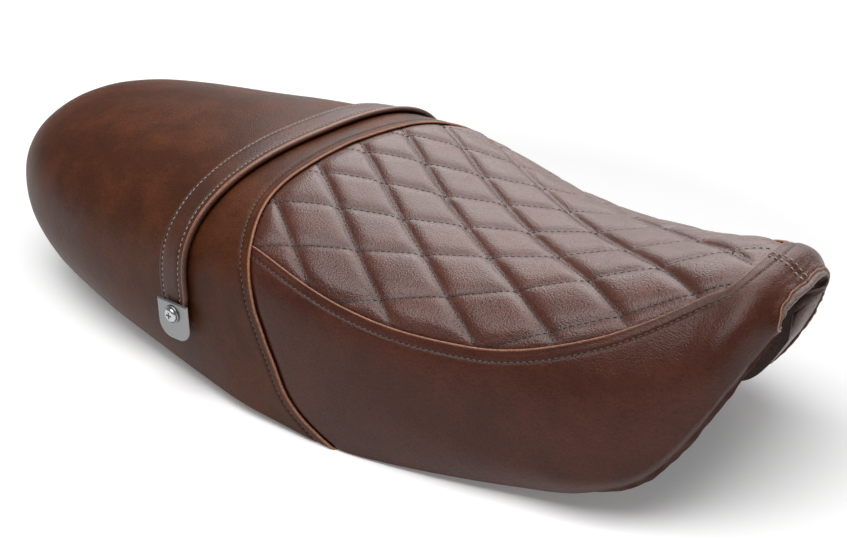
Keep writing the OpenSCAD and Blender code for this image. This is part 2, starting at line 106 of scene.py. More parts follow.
def form(u, v, side=1, d=0.0, top=0.0, lift=0.0, pan=False):
    """Point on the form, as in the CAD source: u is degrees round the tail or mm forward, v the level."""
    u, v = np.broadcast_arrays(np.asarray(u, float), np.asarray(v, float))
    tail = u < 0
    a = np.radians(90 + np.clip(u, -90, 0))
    c, s = np.clip(np.cos(a), 0, 1), np.sin(a)
    outer = np.where(tail, ARC_X - (ARC_R - d) * c ** (2 / TAIL_POWER), ARC_X + u)
    spine = np.where(tail, ARC_X - TAIL_SPINE * (ARC_R - d) * c, ARC_X + u)
    box = PAN_BOX if pan else curve(BOX, outer)
    a = 0.5 * math.pi * (1 - np.clip(v, 0, 1))
    q = np.where(v >= 0, np.clip(np.sin(a), 0, 1) ** (2 / box), 1 - curve(TUCK, outer) * v * v)
    w = (curve(WIDTH, outer) - d) * np.where(tail, s ** (2 / TAIL_POWER), 1)
    x = mix(spine, outer, q)
    low = edge(x, lift)
    high = curve(DECK if pan else CROWN, x) - top
    mid = mix(low, high, 0.5 if pan else curve(MID, x))
    z = np.where(v >= 0, mid + (high - mid) * np.clip(np.cos(a), 0, 1) ** (2 / box), mid + (mid - low) * v)
    return np.stack([x, side * q * w, z], -1)


# ---------------------------------------------------------------- helpers
def hash3(i):
    n = (i[..., 0] * 374761393 + i[..., 1] * 668265263 + i[..., 2] * 2147483647) & 0xFFFFFFFF
    n = ((n ^ (n >> 13)) * 1274126177) & 0xFFFFFFFF
    return ((n ^ (n >> 16)) & 0xFFFF) / 65535.0


def noise(p, size, octaves=3):
    """Smooth noise from -1 to 1 at points p, with features of about that size."""
    total, amp, norm = 0.0, 1.0, 0.0
    for k in range(octaves):
        g = np.asarray(p, float) / size * 2 ** k + 31.7 * k + 1000
        i = np.floor(g).astype(np.int64)
        f = g - i
        f = f * f * (3 - 2 * f)
        out = 0.0
        for corner in range(8):
            o = np.array([corner & 1, corner >> 1 & 1, corner >> 2 & 1])
            w = np.prod(np.where(o == 1, f, 1 - f), axis=-1)
            out = out + w * hash3(i + o)
        total = total + amp * (2 * out - 1)
        norm += amp
        amp *= 0.5
    return total / norm


def lengths(poly):
    step = np.linalg.norm(np.diff(poly, axis=-2), axis=-1)
    return np.concatenate([np.zeros(step.shape[:-1] + (1,)), np.cumsum(step, -1)], -1)


def at_length(poly, want):
    """Points of each line of poly at the wanted distances along it."""
    have = lengths(poly)
    out = np.empty(want.shape + (3,))
    for k in range(len(poly)):
        for c in range(3):
            out[k, :, c] = np.interp(want[k], have[k], poly[k, :, c])
    return out


def unit(v):
    return v / np.maximum(np.linalg.norm(v, axis=-1, keepdims=True), 1e-9)


def normals(grid, outward):
    """Normals of a grid of points, turned to the side of outward."""
    n = unit(np.cross(np.gradient(grid, axis=0), np.gradient(grid, axis=1)))
    return n if np.sum(n * outward) > 0 else -n


def make(name, verts, faces, material, body="seat", attributes=None):
    """A smooth-shaded piece from points in millimetres, riding on a body."""
    mesh = bpy.data.meshes.new(name)
    mesh.from_pydata((np.asarray(verts, float) * MM).tolist(), [], [tuple(int(i) for i in f) for f in faces])
    mesh.polygons.foreach_set("use_smooth", [True] * len(mesh.polygons))
    for key, values in (attributes or {}).items():
        mesh.attributes.new(key, "FLOAT", "POINT").data.foreach_set("value", np.asarray(values, np.float32))
    mesh.materials.append(material)
    mesh.update()
    obj = bpy.data.objects.new(name, mesh)
    bpy.context.scene.collection.objects.link(obj)
    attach(obj, body)
    return obj


def quads(rows, cols, start=0, wrap=False, flip=False):
    """Faces of a grid whose points are numbered row by row."""
    r, c = np.meshgrid(np.arange(rows - 1), np.arange(cols if wrap else cols - 1), indexing="ij")
    a = start + r * cols + c
    b = start + r * cols + (c + 1) % cols
    f = np.stack([a, b, b + cols, a + cols], -1).reshape(-1, 4)
    return f[:, ::-1] if flip else f


def weld(obj, distance=0.02):
    """Joins points closer than that many millimetres and turns the faces outwards."""
    bm = bmesh.new()
    bm.from_mesh(obj.data)
    bmesh.ops.remove_doubles(bm, verts=bm.verts, dist=distance * MM)
    bmesh.ops.recalc_face_normals(bm, faces=bm.faces)
    bm.to_mesh(obj.data)
    bm.free()
    obj.data.update()


def modify(obj, kind, **values):
    """Adds a modifier, sets it and applies it."""
    m = obj.modifiers.new(kind, kind)
    for key, value in values.items():
        setattr(m, key, value)
    dep = bpy.context.evaluated_depsgraph_get()
    mesh = bpy.data.meshes.new_from_object(obj.evaluated_get(dep))
    obj.modifiers.clear()
    obj.data = mesh
    return obj


# ---------------------------------------------------------------- materials
# paler colour of the stretched leather at its folded edges, mixed with a painted highlight
FOLD_PALE_AND_HIGHLIGHT = (0.43, 0.20, 0.12)
LINING_COLOUR = (0.175, 0.118, 0.106)


def node(tree, kind, **values):
    n = tree.nodes.new(kind)
    for key, value in values.items():
        if key in n.inputs:
            n.inputs[key].default_value = value
        else:
            setattr(n, key, value)
    return n


def ramp(tree, source, stops):
    n = tree.nodes.new("ShaderNodeValToRGB")
    n.color_ramp.elements[0].position, n.color_ramp.elements[0].color = stops[0][0], (*stops[0][1], 1)
    n.color_ramp.elements[1].position, n.color_ramp.elements[1].color = stops[-1][0], (*stops[-1][1], 1)
    for place, colour in stops[1:-1]:
        n.color_ramp.elements.new(place).color = (*colour, 1)
    tree.links.new(source, n.inputs[0])
    return n.outputs[0]


def grey(x):
    return (x, x, x)


def new_material(name):
    m = bpy.data.materials.get(name) or bpy.data.materials.new(name)
    m.use_nodes = True
    m.node_tree.nodes.clear()
    out = m.node_tree.nodes.new("ShaderNodeOutputMaterial")
    bsdf = m.node_tree.nodes.new("ShaderNodeBsdfPrincipled")
    m.node_tree.links.new(bsdf.outputs[0], out.inputs[0])
    coord = m.node_tree.nodes.new("ShaderNodeTexCoord")
    return m, m.node_tree, bsdf, coord.outputs["Object"]


def mix_colour(t, factor, a, b, blend="MIX"):
    n = t.nodes.new("ShaderNodeMix")
    n.data_type, n.blend_type = "RGBA", blend
    for value, slot in ((factor, 0), (a, 6), (b, 7)):
        if isinstance(value, tuple):
            n.inputs[slot].default_value = (*value, 1)
        elif isinstance(value, float):
            n.inputs[slot].default_value = value
        else:
            t.links.new(value, n.inputs[slot])
    return n.outputs[2]


def maths(t, op, a, b=0.0):
    n = t.nodes.new("ShaderNodeMath")
    n.operation = op
    for value, slot in ((a, 0), (b, 1)):
        if isinstance(value, (int, float)):
            n.inputs[slot].default_value = value
        else:
            t.links.new(value, n.inputs[slot])
    return n.outputs[0]


def leather(name, base, dark, light, rough, grain=1.0, shine=0.24):
    """Coated leather: pebble grain, fine creases, mottled colour, paler folded edges with a painted highlight
    on them, and painted shade in the grooves, along the creases and in the grain's hollows.
    """
    m, t, bsdf, at = new_material(name)
    link = t.links.new
    mottle = node(t, "ShaderNodeTexNoise", Scale=26.0, Detail=5.0, Roughness=0.62)
    link(at, mottle.inputs["Vector"])
    cloud = node(t, "ShaderNodeTexNoise", Scale=6.0, Detail=2.0)
    link(at, cloud.inputs["Vector"])
    warp = node(t, "ShaderNodeTexNoise", Scale=120.0, Detail=3.0)
    link(at, warp.inputs["Vector"])
    shift = t.nodes.new("ShaderNodeVectorMath")
    shift.operation = "MULTIPLY_ADD"
    link(warp.outputs["Color"], shift.inputs[0])
    shift.inputs[1].default_value = (0.0025, 0.0025, 0.0025)
    link(at, shift.inputs[2])
    pebble = node(t, "ShaderNodeTexVoronoi", Scale=1000.0, feature="SMOOTH_F1")
    link(shift.outputs[0], pebble.inputs["Vector"])
    drawn = node(t, "ShaderNodeMapping")
    drawn.inputs["Scale"].default_value = (0.55, 1.0, 1.3)
    link(shift.outputs[0], drawn.inputs["Vector"])
    lines = node(t, "ShaderNodeTexNoise", Scale=330.0, Detail=4.0, Roughness=0.6)
    link(drawn.outputs[0], lines.inputs["Vector"])
    pore = node(t, "ShaderNodeTexNoise", Scale=1500.0, Detail=2.0)
    link(at, pore.inputs["Vector"])
    wrinkle = ramp(t, lines.outputs["Fac"], [(0.38, grey(0.0)), (0.5, grey(0.75)), (0.68, grey(1.0))])
    patch = ramp(t, mottle.outputs["Fac"], [(0.42, grey(0.0)), (0.62, grey(1.0))])
    colour = mix_colour(t, patch, dark, base)
    colour = mix_colour(t, maths(t, "MULTIPLY", cloud.outputs["Fac"], 0.35), colour, light)
    fold = node(t, "ShaderNodeAttribute", attribute_name="fold")
    # the folded edges take the paler colour, which also paints a highlight on them
    colour = mix_colour(t, fold.outputs["Fac"], colour, FOLD_PALE_AND_HIGHLIGHT)
    # painted shade: darker in stitch grooves, under lapped edges, along the nose seam and in the quilting's
    # valleys
    groove_shade = node(t, "ShaderNodeAttribute", attribute_name="groove_shade")
    colour = mix_colour(t, maths(t, "MULTIPLY", groove_shade.outputs["Fac"], 0.75), colour,
                        (dark[0] * 0.35, dark[1] * 0.33, dark[2] * 0.33))
    lining = node(t, "ShaderNodeAttribute", attribute_name="inside")
    colour = mix_colour(t, lining.outputs["Fac"], colour, LINING_COLOUR)
    # painted shade: darker along the fine creases
    crease_shade_amount = maths(t, "MULTIPLY", maths(t, "SUBTRACT", 1.0, wrinkle), 0.22)
    crease_shaded = mix_colour(t, crease_shade_amount, colour, (dark[0] * 0.55, dark[1] * 0.5, dark[2] * 0.5))
    # painted shade: darker in the hollows of the pebble grain
    grain_shaded = mix_colour(t, maths(t, "MULTIPLY", pebble.outputs["Distance"], 0.75 * grain), crease_shaded,
                          (dark[0] * 0.4, dark[1] * 0.4, dark[2] * 0.4))
    link(grain_shaded, bsdf.inputs["Base Color"])
    r = maths(t, "MULTIPLY", mottle.outputs["Fac"], 0.22)
    link(maths(t, "ADD", r, rough - 0.11), bsdf.inputs["Roughness"])
    bsdf.inputs["Specular IOR Level"].default_value = shine
    height = maths(t, "MULTIPLY", pebble.outputs["Distance"], -0.9 * grain)
    height = maths(t, "ADD", height, maths(t, "MULTIPLY", wrinkle, 0.07))
    height = maths(t, "ADD", height, maths(t, "MULTIPLY", pore.outputs["Fac"], 0.25 * grain))
    bump = node(t, "ShaderNodeBump", Strength=0.6, Distance=0.0004)
    link(height, bump.inputs["Height"])
    link(bump.outputs[0], bsdf.inputs["Normal"])
    return m


def metal(name, colour, rough, scale=900.0, grime=0.15, stretch=(1, 1, 1)):
    """Plated or brushed steel with faint grime."""
    m, t, bsdf, at = new_material(name)
    link = t.links.new
    squeeze = node(t, "ShaderNodeMapping")
    squeeze.inputs["Scale"].default_value = stretch
    link(at, squeeze.inputs["Vector"])
    fine = node(t, "ShaderNodeTexNoise", Scale=scale, Detail=3.0)
    link(squeeze.outputs[0], fine.inputs["Vector"])
    broad = node(t, "ShaderNodeTexNoise", Scale=60.0, Detail=4.0)
    link(at, broad.inputs["Vector"])
    dirty = mix_colour(t, maths(t, "MULTIPLY", broad.outputs["Fac"], grime), colour,
                       tuple(0.45 * c for c in colour))
    link(dirty, bsdf.inputs["Base Color"])
    scuffed = maths(t, "MULTIPLY", fine.outputs["Fac"], 0.18)
    link(maths(t, "ADD", scuffed, rough - 0.09), bsdf.inputs["Roughness"])
    bsdf.inputs["Metallic"].default_value = 1.0
    bump = node(t, "ShaderNodeBump", Strength=0.12, Distance=0.0001)
    link(fine.outputs["Fac"], bump.inputs["Height"])
    link(bump.outputs[0], bsdf.inputs["Normal"])
    return m


def dull(name, colour, rough, scale=1400.0, depth=0.0002, strength=0.4, speckle=0.25):
    """Moulded plastic, rubber, thread, foam and webbing."""
    m, t, bsdf, at = new_material(name)
    link = t.links.new
    fine = node(t, "ShaderNodeTexNoise", Scale=scale, Detail=3.0, Roughness=0.6)
    link(at, fine.inputs["Vector"])
    broad = node(t, "ShaderNodeTexNoise", Scale=35.0, Detail=3.0)
    link(at, broad.inputs["Vector"])
    link(mix_colour(t, maths(t, "MULTIPLY", broad.outputs["Fac"], speckle * 2), colour,
                    tuple(0.6 * c for c in colour)), bsdf.inputs["Base Color"])
    uneven = maths(t, "MULTIPLY", broad.outputs["Fac"], 0.15)
    link(maths(t, "ADD", uneven, rough - 0.07), bsdf.inputs["Roughness"])
    bump = node(t, "ShaderNodeBump", Strength=strength, Distance=depth)
    link(fine.outputs["Fac"], bump.inputs["Height"])
    link(bump.outputs[0], bsdf.inputs["Normal"])
    return m


TAIL = leather("cover_tail", (0.080, 0.022, 0.008), (0.042, 0.011, 0.004), (0.122, 0.038, 0.014),
               rough=0.45, grain=0.9, shine=0.12)
SIDE = leather("cover_side", (0.066, 0.018, 0.010), (0.042, 0.011, 0.006), (0.124, 0.037, 0.020),
               rough=0.37, shine=0.2)
TOP = leather("cover_quilt", (0.096, 0.028, 0.017), (0.062, 0.017, 0.010), (0.155, 0.051, 0.032),
              rough=0.37, grain=1.3, shine=0.38)
STRAP = leather("strap_hide", (0.072, 0.022, 0.011), (0.044, 0.013, 0.007), (0.122, 0.042, 0.021), rough=0.42)
THREAD_DARK = dull("thread_dark", (0.042, 0.022, 0.018), 0.7, 2600.0, 0.0001, 0.5)
THREAD_SEAM = dull("thread_seam", (0.105, 0.078, 0.066), 0.7, 2600.0, 0.0001, 0.5)
THREAD_LIGHT = dull("thread_light", (0.30, 0.24, 0.195), 0.7, 2600.0, 0.0001, 0.5)
WEB = dull("webbing_weave", (0.020, 0.017, 0.015), 0.8, 1100.0, 0.0005, 0.8)
FOAM = dull("foam_cells", (0.62, 0.55, 0.33), 0.95, 900.0, 0.0009, 0.9)
PLATE = metal("plate_steel", (0.27, 0.273, 0.277), 0.36, 1500.0, 0.12, (1, 1, 0.12))
CHROME = metal("screw_steel", (0.50, 0.51, 0.52), 0.24, 1400.0, 0.1)
ZINC = metal("zinc_steel", (0.46, 0.46, 0.44), 0.38, 500.0, 0.3)
PAN = dull("pan_plastic_grain", (0.018, 0.018, 0.019), 0.55, 1200.0, 0.0004, 0.6)
BRACKET = dull("bracket_paint", (0.022, 0.022, 0.024), 0.38, 380.0, 0.0001, 0.3)
RUBBER = dull("rubber_moulded", (0.016, 0.016, 0.016), 0.72, 900.0, 0.0003, 0.5)

# ---------------------------------------------------------------- the cover's panels
# A folded and lapped edge: (distance from the fold, height above the form) across the seam
LAP = np.array([(5.0, -1.9), (2.2, -1.7), (0.8, -1.35), (0.15, -0.6), (0.0, 0.1), (0.2, 0.7), (0.6, 1.15),
                (1.2, 1.35), (1.9, 1.2), (2.7, 0.95), (3.8, 0.8), (5.2, 0.75), (6.3, 0.6), (7.0, 0.35),
                (7.6, 0.0), (8.0, -0.2), (8.4, 0.0), (8.9, 0.3), (9.8, 0.45), (11.2, 0.45), (13.0, 0.35),
                (15.5, 0.2), (18.5, 0.1), (22, 0.0)])
STITCH_FROM_FOLD = 8.0
# where the fold's paler colour and painted highlight go
LAP_FOLD_PALE_AND_HIGHLIGHT = np.exp(-((LAP[:, 0] - 0.4) / 0.65) ** 2) * (LAP[:, 1] > -0.5)
# painted shade in the stitch groove and under the folded edge
LAP_GROOVE_SHADE = np.exp(-((LAP[:, 0] - STITCH_FROM_FOLD) / 0.7) ** 2) + (LAP[:, 1] < -0.5)
LAP_STITCH = int(np.argmin(np.abs(LAP[:, 0] - STITCH_FROM_FOLD)))
# Rows of points on each part of the turned-under edge
ROLL_ROWS, FACE_ROWS, BEAD_ROWS, CLIMB_ROWS = 10, 9, 3, 5


def bezier(a, b, c, n):
    """Rows of n points on quadratic curves from a towards b to c."""
    t = np.linspace(0, 1, n)[None, :, None]
    return (1 - t) ** 2 * a[:, None] + 2 * t * (1 - t) * b[:, None] + t * t * c[:, None]


def under(wall_end, corner, inner, turned, reach, bulge):
    """Rows past the lower edge: its roll, the face under the foam, the inner edge and the turned-up part."""
    face = unit(inner - corner)
    p2 = corner + face * reach[:, None]
    out = unit(unit(corner - wall_end) - face)
    roll = bezier(wall_end, corner + out * bulge[:, None], p2, ROLL_ROWS)[:, 1:]
    t = np.linspace(0, 1, FACE_ROWS + 1)[None, 1:, None]
    flat = mix(p2[:, None], inner[:, None], t)
    up = unit(turned - inner)[:, None]
    bead = (inner[:, None] + face[:, None] * np.array([0.7, 1.1, 1.0])[None, :, None]
            + up * np.array([0.1, 0.7, 1.6])[None, :, None])
    climb = mix(bead[:, -1:], turned[:, None], np.linspace(0, 1, CLIMB_ROWS + 1)[None, 1:, None])
    return np.concatenate([roll, flat, bead, climb], 1)


def share(values):
    """Values held between 0 and 1, in one row."""
    return np.clip(values, 0, 1).reshape(-1)


def creases(p, amount=1.0):
    """Slight unevenness of padded leather."""
    return amount * (0.35 * noise(p, 38.0, 2) + 0.10 * noise(p, 9.0, 2))


def seam_line():
    """The side panel's upper edge in (x, level): beside the quilting, then across in front of it."""
    x = np.linspace(9, QUILT_END, 500)
    corner = float(curve(QUILT, QUILT_END))
    c = np.linspace(1, 0, 160)[1:]
    xs = np.concatenate([x, mix(QUILT_TIP, QUILT_END, c ** 4)])
    vs = np.concatenate([curve(QUILT, x), mix(1, corner, c)])
    return np.stack([xs, vs], -1), len(x)


def split(points, where, n_first, n_second):
    """Places along a line in (x, level): n_first up to its corner and n_second after it."""
    p3 = form(points[:, 0] - ARC_X, points[:, 1])
    s = lengths(p3[None])[0]
    want = np.concatenate([np.linspace(0, s[where - 1], n_first),
                           np.linspace(s[where - 1], s[-1], n_second + 1)[1:]])
    return np.stack([np.interp(want, s, points[:, 0]), np.interp(want, s, points[:, 1])], -1)


def nose_wave(s, scale):
    """Waviness of a raw edge at distances s along it."""
    return scale * (np.sin(s / 5.3 + 0.6) + 0.7 * np.sin(s / 2.9 + 1.9) + 0.5 * np.sin(s / 1.7))


def rider_side(side):
    """The plain panel beside and in front of the quilting, with the leather turned up inside."""
    n_side, n_nose, n_wall = 215, 34, 46
    top_line, corner = seam_line()
    top = split(top_line, corner, n_side, n_nose)
    xs = np.linspace(float(curve(CROSS, -1)) - SIDE_START, HALF, 400)
    vs = np.linspace(-1, 1, 160)[1:]
    low_line = np.stack([np.concatenate([xs, np.full(len(vs), HALF)]),
                         np.concatenate([np.full(len(xs), -1.0), vs])], -1)
    low = split(low_line, len(xs), n_side, n_nose)
    f = np.concatenate([np.linspace(0, 1, n_side), np.ones(n_nose)])
    w = np.linspace(0, 1, 220)[None, :]
    v = mix(top[:, 1:], low[:, 1:], w)
    x = mix(top[:, :1], low[:, :1], w)
    start = mix(top[0, 0], low[0, 0], (top[0, 1] - v) / (top[0, 1] + 1))
    x = x + ((1 - f) ** 2)[:, None] * (curve(CROSS, v) - SIDE_START - start) * (f < 1)[:, None]
    x = np.minimum(x, HALF)
    wall = form(x - ARC_X, v, side)
    total = lengths(wall)[:, -1]
    along = lengths(form(low[:, 0] - ARC_X, low[:, 1])[None])[0]
    open_front = smooth(264, 288, low[:, 0])
    reach = mix(7.0, 5.6, open_front) + open_front * nose_wave(along, 0.75)
    lap_scale = np.minimum(1, (total - reach - 1) / LAP[-1, 0])
    known = np.unique(LAP[:, 0])
    rest = np.linspace(0, 1, n_wall)[None, 1:]
    lap_t = known[None] * lap_scale[:, None]
    wall_t = mix(lap_t[:, -1:], (total - reach)[:, None], rest)
    raw_edge = (total - reach)[:, None] + np.array([[0.15, 1.3, 1.5]])
    arc = np.concatenate([lap_t, wall_t, raw_edge], 1)
    base = at_length(wall, arc)
    # the inner edge of the face under the foam, and the turned-up leather inside the pan
    xb, vb = low[:, 0], low[:, 1]
    first = np.searchsorted(xb, MOUTH_X)
    g = np.clip((along - along[first]) / (along[-1] - along[first]), 0, 1)
    level = np.where(xb < MOUTH_X, -1, mix(-1, 1, g))
    xi = np.minimum(xb, MOUTH_X)
    inner = form(xi - ARC_X, level, side, HEM_DEPTH, DECK_DROP, 0, True)
    flat_inner = form(xi - ARC_X, -1, side, HEM_DEPTH)
    inner = mix(flat_inner, inner, smooth(MOUTH_X - 25, MOUTH_X, xb)[:, None])
    top_level = mix(-0.6, 0.3, smooth(215, 272, xi))
    climb = form(xi - ARC_X, np.minimum(np.maximum(level + 0.4, top_level), 1), side, HEM_DEPTH + 0.7,
                 PAN_WALL, EDGE_LIFT, True)
    back = form(MOUTH_X - 20 - ARC_X, level, side, HEM_DEPTH + 0.7, DECK_DROP, EDGE_LIFT, True)
    turned = mix(climb, back, smooth(-0.95, 0.0, level)[:, None])
    at_tip = np.exp(-((along - along[n_side - 1]) / 9) ** 2)
    rows = under(base[:, -1], form(xb - ARC_X, vb, side), inner, turned, reach,
                 mix(1.5, 6.0, smooth(262, 305, xb)) * (1 - 0.9 * at_tip))
    grid = np.concatenate([base, rows], 1)
    n = normals(grid, np.array([0, side, 0.3]))
    pick = np.concatenate([np.searchsorted(known, LAP[:, 0]), np.arange(len(known), grid.shape[1])])
    height = np.concatenate([LAP[:, 1], np.zeros(grid.shape[1] - len(known))])
    fold = np.concatenate([LAP_FOLD_PALE_AND_HIGHLIGHT, np.zeros(grid.shape[1] - len(known))])
    groove_shade = np.concatenate([LAP_GROOVE_SHADE, np.zeros(grid.shape[1] - len(known))])
    grid, n = grid[:, pick], n[:, pick]
    height = np.tile(height, (len(grid), 1))
    fold, groove_shade = np.tile(fold, (len(grid), 1)), np.tile(groove_shade, (len(grid), 1))
    # the raw edge of the leather flares a little at the open front, above the lining
    n_lap, n_base = len(LAP) - len(known), arc.shape[1]
    edge_at = n_lap + n_base
    to_edge = arc[:, -3:-2] - arc
    flare = np.exp(-(np.maximum(to_edge, 0) / 3.5) ** 2)
    flare = flare * np.array([1.0] * (n_base - 2) + [0.85, -0.15])[None]
    lift = open_front * (1.9 - 0.7 * smooth(320, 340, low[:, 0]) + nose_wave(along + 40, 0.25))
    height[:, n_lap + len(known):edge_at] += (lift[:, None] * flare)[:, len(known):]
    # the raw edge at the open front takes the paler fold colour with a painted highlight on its lip
    fold[:, edge_at - 3:edge_at - 1] = np.maximum(fold[:, edge_at - 3:edge_at - 1], open_front[:, None])
    inside = np.zeros(grid.shape[:2])
    inside[:, edge_at - 1:] = open_front[:, None]
    inside[:, -BEAD_ROWS - CLIMB_ROWS:] = 1
    # tucked down where the tail's cover laps over it, and drawn down along the short seam at the nose
    dist = lengths(grid.transpose(1, 0, 2)).T
    sink = np.exp(-(np.maximum(dist - 3, 0) / 2.2)) * 1.9
    height = height * (1 - np.exp(-dist / 3.0)) - sink
    mid = np.abs(grid[..., 1])
    seam = (grid[..., 0] > QUILT_TIP - 1) & (mid < 12)
    height = height - np.where(seam, 0.5 * np.exp(-(mid / 0.7) ** 2), 0)
    # painted shade along the short seam
    groove_shade = np.maximum(groove_shade, np.where(seam, 0.7 * np.exp(-(mid / 0.5) ** 2), 0))
    # pleats that gather the leather round the nose's corners
    count = grid.shape[1]
    row = np.arange(count)
    face_from = count - BEAD_ROWS - CLIMB_ROWS - FACE_ROWS
    rolling = smooth(edge_at, edge_at + 4, row)[None, :]
    on_face = smooth(face_from - 3, face_from + 6, row)[None, :]
    pleat = np.zeros(len(grid))
    for place, size in ((-16, 0.8), (-8, 1.3), (0, 1.8), (7, 1.6), (14, 1.5), (22, 1.1)):
        d = along - along[n_side - 1] - place
        pleat += size * (np.exp(-(d / 1.5) ** 2) - 0.5 * np.exp(-((d - 3.2) / 2.0) ** 2))
    height = height - pleat[:, None] * np.maximum(on_face, 0.35 * rolling)
    puff = creases(grid) * smooth(0, 10, dist)
    nose = smooth(270, 320, grid[..., 0])
    puff = puff + nose * 0.30 * noise(grid * np.array([1, 1, 0.35]), 7.0, 2)
    grid = grid + n * (height + puff)[..., None]
    grid[..., 1] = np.where(seam & (side * grid[..., 1] < 0.05), side * 0.05, grid[..., 1])
    obj = make("side_cover_right" if side < 0 else "side_cover_left", grid.reshape(-1, 3),
               quads(*grid.shape[:2], flip=side > 0), SIDE,
               attributes={"fold": share(fold), "groove_shade": share(groove_shade), "inside": inside.reshape(-1)})
    stitch = (grid[:, LAP_STITCH], n[:, LAP_STITCH])
    return obj, stitch, grid, n


def tail_cover():
    """The smooth end: half-sheets from the tail's middle to the cross seam, joined along the crown."""
    tail_u = np.linspace(-90, 0, 132)[:-1]
    known = np.unique(LAP[:, 0])
    order = np.sort(known)[::-1]
    body_f = np.linspace(0, 1, 66)
    v = np.concatenate([np.linspace(1, 0.9, 30), np.linspace(0.9, -1, 200)[1:]])
    step = np.linalg.norm(np.gradient(form(curve(CROSS, v) - ARC_X, v), axis=0), axis=-1)
    slant = np.gradient(curve(CROSS, v)) / np.maximum(step, 1e-6)
    stretch = 1 / np.sqrt(np.maximum(1 - np.clip(slant, -0.9, 0.9) ** 2, 0.2))
    lines = [np.full(len(v), u) for u in tail_u]
    end = curve(CROSS, v) - LAP[-1, 0] * stretch - ARC_X
    lines += [np.maximum(end * k, 1e-6) for k in body_f]
    lines += [curve(CROSS, v) - t * stretch - ARC_X for t in order[1:]]
    lines = np.array(lines)
    halves, stitch = [], []
    n_before = len(tail_u) + len(body_f) - 1
    last = n_before + len(order) - 1
    pick = np.concatenate([np.arange(n_before), last - np.searchsorted(known, LAP[::-1, 0])])
    height = np.concatenate([np.zeros(n_before), LAP[::-1, 1]])[:, None]
    fold_pale_and_highlight = np.concatenate([np.zeros(n_before), LAP_FOLD_PALE_AND_HIGHLIGHT[::-1]])
    groove_shades = np.concatenate([np.zeros(n_before), LAP_GROOVE_SHADE[::-1]])
    for side in (-1, 1):
        wall = form(lines, v[None], side)
        total = lengths(wall)[:, -1]
        reach = np.full(len(lines), 7.5)
        base = at_length(wall, mix(0, (total - reach)[:, None], np.linspace(0, 1, 84)[None]))
        u_low = lines[:, -1]
        inner = form(u_low, -1, side, HEM_DEPTH)
        turned = form(u_low, -0.6, side, HEM_DEPTH, PAN_WALL, EDGE_LIFT, True)
        grid = np.concatenate([base, under(base[:, -1], form(u_low, -1, side), inner, turned, reach,
                                           np.full(len(lines), 1.5))], 1)
        n = normals(grid, np.array([-0.2, side, 0.3]))
        n[:, 0] = unit(n[:, 0] * np.array([1, 0, 1]))
        n[0] = unit(n[0] * np.array([1, 0, 1]))
        grid, n = grid[pick], n[pick]
        puff = creases(grid * np.array([1, side, 1]) if side > 0 else grid, 1.2)
        puff[:, 0] = creases(grid[:, 0], 1.2)
        puff[0] = 0
        blend = smooth(0, 14, np.abs(grid[..., 1]))
        grid = grid + n * (height + puff * blend)[..., None]
        k = len(grid) - 1 - LAP_STITCH
        stitch.append((grid[k], n[k]))
        halves.append(grid)
    r, c = halves[0].shape[:2]
    verts = np.concatenate([h.reshape(-1, 3) for h in halves])
    faces = np.concatenate([quads(r, c), quads(r, c, r * c, flip=True)])
    obj = make("tail_cover_hide", verts, faces, TAIL,
               attributes={"fold": share(np.tile(np.repeat(fold_pale_and_highlight, c), 2)),
                           "groove_shade": share(np.tile(np.repeat(groove_shades, c), 2))})
    weld(obj)
    return obj, stitch


# ---------------------------------------------------------------- the quilting
# Half a diamond along the seat and across it, the length of its side, and where the pattern starts
CELL_S, CELL_L, CELL_SIDE, ORIGIN_X = 37.05, 24.4, 44.4, 1.4


def quilt_points(p, q):
    """Form coordinates (x, level, side) of places in the quilting's diamond grid."""
    s = (p + q - 5) * CELL_S
    l = (p - q - 1) * CELL_L
    xs = np.linspace(-60, HALF, 900)
    crown = form(xs - ARC_X, 1.0)
    run = lengths(crown[None])[0]
    run = run - np.interp(ORIGIN_X, xs, run)
    x = np.interp(s, run, xs)
    vs = np.linspace(1, -0.1, 260)
    rows = np.linspace(-60, HALF, 140)
    arc = lengths(form(rows[:, None] - ARC_X, vs[None]))
    k = np.clip(np.searchsorted(rows, x) - 1, 0, len(rows) - 2)
    a = (x - rows[k]) / (rows[k + 1] - rows[k])
    v = np.empty(x.shape)
    flat_l, flat_k, flat_a, flat_v = np.abs(l).ravel(), k.ravel(), a.ravel(), v.reshape(-1)
    for i in range(flat_l.size):
        flat_v[i] = np.interp(flat_l[i], mix(arc[flat_k[i]], arc[flat_k[i] + 1], flat_a[i]), vs)
    return x, v, np.where(l < 0, -1.0, 1.0)


def quilt_distance(x, v):
    """Distance in mm from the quilted panel's seam, below zero outside it."""
    level_mm, cross_cosine = 118, 0.93
    side = (v - curve(QUILT, np.clip(x, 10, 311))) * level_mm
    back = (x - curve(CROSS, np.clip(v, -1, 1))) * cross_cosine
    front = mix(QUILT_TIP, QUILT_END, np.clip((1 - v) / (1 - QUILT_CORNER), 0, 1) ** 4) - x
    return np.minimum(np.minimum(side, back), front)


